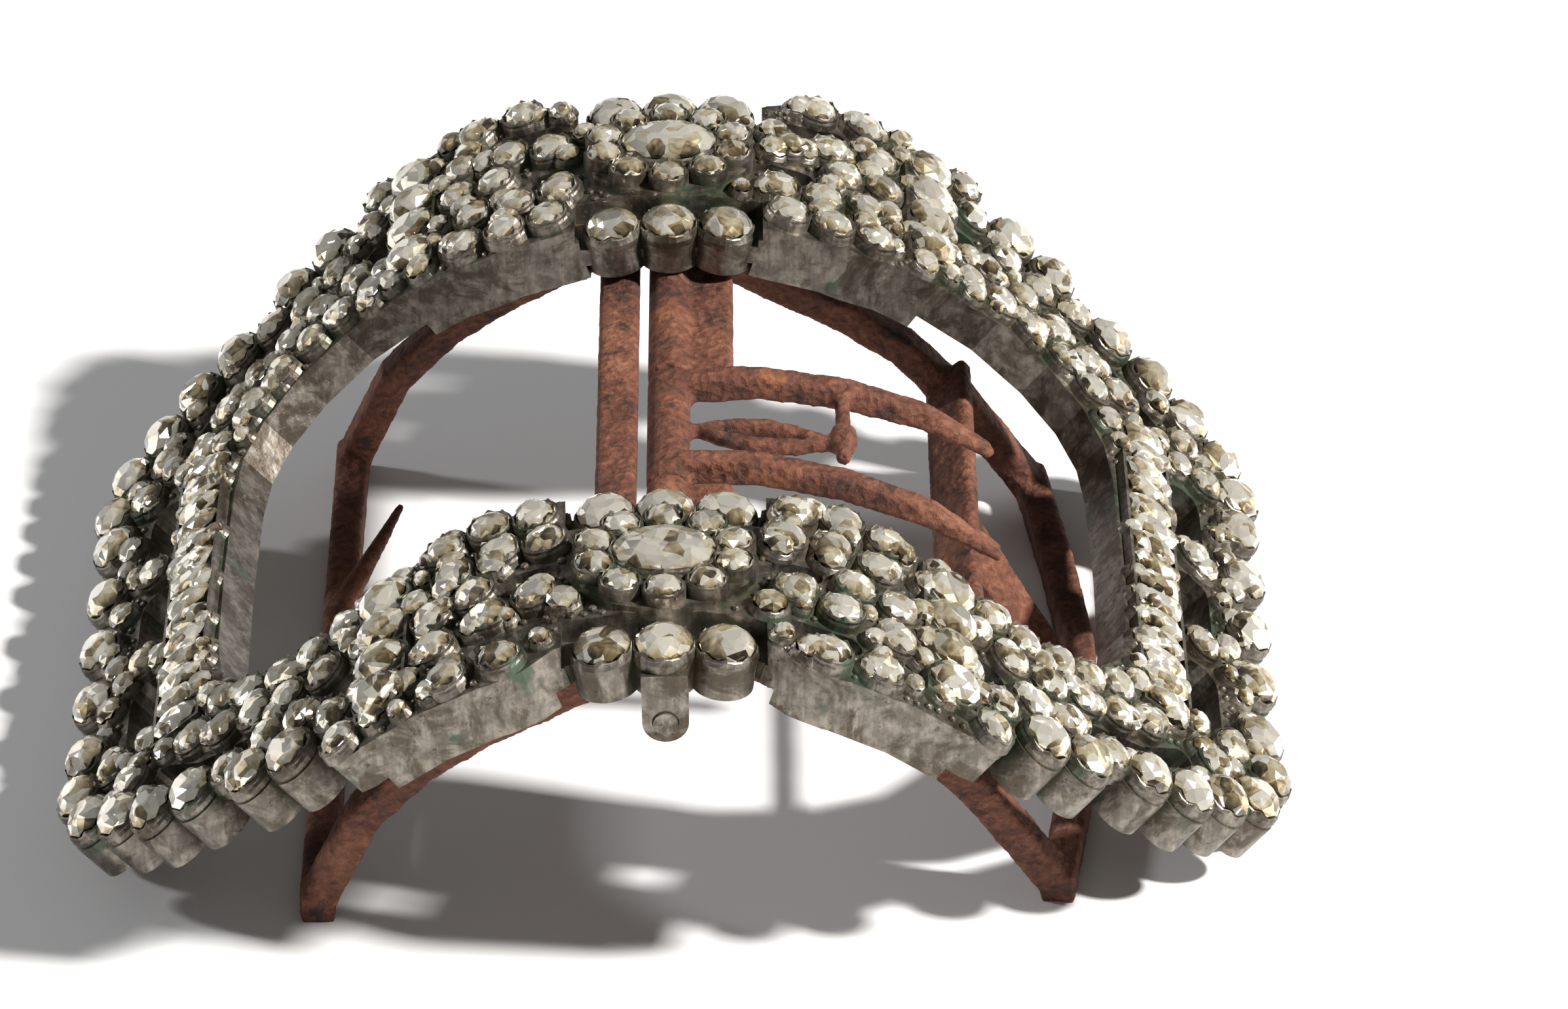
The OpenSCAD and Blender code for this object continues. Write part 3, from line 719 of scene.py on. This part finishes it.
class BUCKLE_OT_bows(bpy.types.Operator):
    """Makes the stones of the four bow loops"""

    bl_idname = "buckle.bows"
    bl_label = "Bows"

    def execute(self, context):
        sizes = context.scene.buckle_sizes
        held = Setting()
        for s, y in quarters(BOW):
            held.add(seat_matrix(s, y), SMALL_R, SMALL_R, sizes.stone_high / MM)
        stones_and_cups(held, "bow_pastes", ["bow_stones_near_left", "bow_stones_near_right",
                                             "bow_stones_far_left", "bow_stones_far_right"], FACETS,
                        material_named("small_pastes"), context, foot=BROAD_FOOT, loose=LOOSE_TURN)
        return {"FINISHED"}


class BUCKLE_OT_flanks(bpy.types.Operator):
    """Makes the stones of the corners, lobes and rails"""

    bl_idname = "buckle.flanks"
    bl_label = "Flanks"

    def execute(self, context):
        sizes = context.scene.buckle_sizes
        for a, word in ((-1, "left"), (1, "right")):
            held = Setting()
            for s, y in [(a * p[0], b * p[1]) for b in (-1, 1) for p in CORNER]:
                held.add(seat_matrix(s, y), SMALL_R, SMALL_R, sizes.stone_high / MM)
            for b in (-1, 1):
                held.add(seat_matrix(a * DROP_S, b * BRIDGE_Y), BRIDGE_R, BRIDGE_R, sizes.stone_high / MM)
            lobes = Setting()
            for s, y in [(a * p[0], b * p[1]) for b in (-1, 1) for p in LOBES]:
                lobes.add(seat_matrix(s, y), LOBE_R, LOBE_R, sizes.main_high / MM)
            for n in range(-2, 3):
                seat = seat_matrix(a * SIDE_LOBE_S, n * SIDE_LOBE_PITCH)
                lobes.add(seat, LOBE_R, LOBE_R, sizes.main_high / MM)
            stones_and_cups(held, "flank_pastes_" + word, ["flank_stones_" + word], FACETS,
                            material_named("small_pastes"), context, foot=BROAD_FOOT, loose=LOOSE_TURN)
            stones_and_cups(lobes, "lobe_pastes_" + word, [], FACETS, material_named("large_pastes"),
                            context, loose=LOOSE_TURN)
            rail = Setting()
            for n in range(-RAIL_SIDE, RAIL_SIDE + 1):
                rail.add(seat_matrix(a * RAIL_S, n * RAIL_PITCH), RAIL_HALF, RAIL_STONE_HALF,
                         sizes.stone_high / MM)
            stones_and_cups(rail, "rail_pastes_" + word, [], FACETS, material_named("small_pastes"),
                            context, foot=None, loose=0.0)
        return {"FINISHED"}


class BUCKLE_OT_fine_stones(bpy.types.Operator):
    """Makes the finest stones and the silver grains that fill the bare places of the plate"""

    bl_idname = "buckle.fine_stones"
    bl_label = "Fine stones and grains"

    def execute(self, context):
        sizes = context.scene.buckle_sizes
        rng = random.Random(sizes.seed)
        held, grains = Setting(), Setting()
        for matrix, r in free_places(FINE_RADII + GRAIN_RADII, FINE_RIM, FINE_PITCH, rng):
            if r in FINE_RADII:
                held.add(matrix, r, r, FINE_HIGH[0] + FINE_HIGH[1] * r)
            else:
                grains.add(matrix, r, r, r)
        stones_and_cups(held, "fine_pastes", [], FINE_FACETS, material_named("small_pastes"), context,
                        foot=FINE_FOOT, loose=LOOSE_TURN, lip=FINE_LIP)
        silver = material_named("aged_silver")
        bead = ring_mesh("bead", BEAD, FACETS, silver)
        made = set_on(grains.points("silver_grains", rng), bead, silver)
        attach(made, "buckle")
        return {"FINISHED"}


class BUCKLE_OT_iron(bpy.types.Operator):
    """Forges the rusted loops and the tongue over their solids"""

    bl_idname = "buckle.iron"
    bl_label = "Iron chape"

    def execute(self, context):
        sizes = context.scene.buckle_sizes
        iron = material_named("rusted_iron")
        for node in ("heel_loop", "tongue_loop", "tongue"):
            mesh = bpy.data.objects[node].data.copy()
            made = bpy.data.objects.new("forged_" + node, mesh)
            context.collection.objects.link(made)
            merge = made.modifiers.new("merge", "WELD")
            merge.merge_threshold = WELD * MM
            voxel = made.modifiers.new("voxel", "REMESH")
            voxel.mode = "VOXEL"
            voxel.voxel_size = sizes.iron_voxel
            smooth = made.modifiers.new("smooth", "SMOOTH")
            smooth.factor, smooth.iterations = 0.5, SMOOTHINGS
            settle(made)
            ways = [corner.normal.copy() for corner in made.data.vertices]
            for corner, way in zip(made.data.vertices, ways):
                spot = corner.co / MM
                rough = sum(noise.noise(spot * scale) * share for scale, share in ROUGHNESS)
                from_pin = math.hypot(spot.x, spot.z - PIN_Z)
                swell = max(0.0, min(1.0, (from_pin - PIN_CLEAR[0]) / (PIN_CLEAR[1] - PIN_CLEAR[0])))
                corner.co += way * (rough * sizes.iron_grain + sizes.iron_regain) * swell
                corner.co.z = max(corner.co.z, 0.0)
            made.data.materials.clear()
            made.data.materials.append(iron)
            made.data.shade_smooth()
            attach(made, node)
            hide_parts(node)
        return {"FINISHED"}


class BUCKLE_PT_panel(bpy.types.Panel):
    """Lists the buckle's sizes, colours and makers"""

    bl_idname = "BUCKLE_PT_panel"
    bl_label = "Paste shoe buckle"
    bl_space_type = "VIEW_3D"
    bl_region_type = "UI"
    bl_category = "Buckle"

    def draw(self, context):
        layout = self.layout
        for group in (context.scene.buckle_sizes, context.scene.buckle_colours):
            for name in group.bl_rna.properties.keys():
                if name not in ("rna_type", "name"):
                    layout.prop(group, name)
        for maker in MAKERS:
            layout.operator(maker.bl_idname)


MAKERS = (BUCKLE_OT_finishes, BUCKLE_OT_rosettes, BUCKLE_OT_clusters, BUCKLE_OT_cross_bands, BUCKLE_OT_bows,
          BUCKLE_OT_flanks, BUCKLE_OT_fine_stones, BUCKLE_OT_iron, BUCKLE_OT_stage)
CLASSES = (BuckleSizes, BuckleColours) + MAKERS + (BUCKLE_PT_panel,)


def register():
    for kind in CLASSES:
        bpy.utils.register_class(kind)
    bpy.types.Scene.buckle_sizes = bpy.props.PointerProperty(type=BuckleSizes)
    bpy.types.Scene.buckle_colours = bpy.props.PointerProperty(type=BuckleColours)


def unregister():
    del bpy.types.Scene.buckle_sizes
    del bpy.types.Scene.buckle_colours
    for kind in reversed(CLASSES):
        bpy.utils.unregister_class(kind)


def main():
    register()
    for maker in MAKERS:
        getattr(bpy.ops.buckle, maker.bl_idname.split(".")[1])()


if __name__ == "__main__":
    main()
